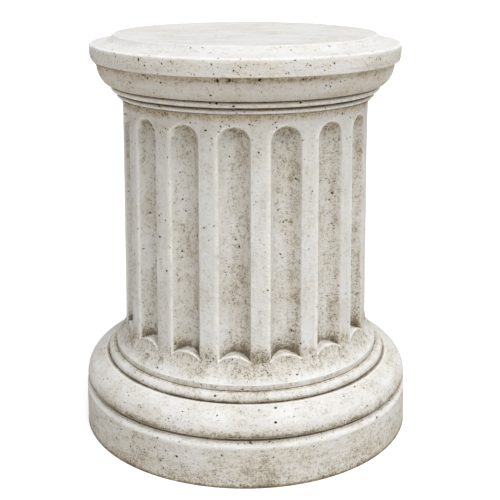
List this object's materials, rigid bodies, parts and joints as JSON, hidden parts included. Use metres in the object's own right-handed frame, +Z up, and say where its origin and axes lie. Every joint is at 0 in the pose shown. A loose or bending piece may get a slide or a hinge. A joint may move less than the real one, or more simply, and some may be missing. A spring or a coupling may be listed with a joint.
{
  "type": "garden pedestal",
  "caption": "Short fluted column pedestal in pale cast stone: a round drum plinth and base mouldings, a tapering shaft and a round slab top that carries a planter or ornament.",
  "frame": {"origin": "centre of the flat underside, on the ground", "axes": "+Z up along the column's axis; -Y is the side seen in the picture, where a flute stands 4.6 degrees to the left of the middle"},
  "size_m": [0.36, 0.36, 0.4223],
  "materials": {
    "cast_stone": "matt cast limestone, weathered"
  },
  "bodies": {
    "root": {"pedestal": "cast_stone"}
  },
  "joints": []
}
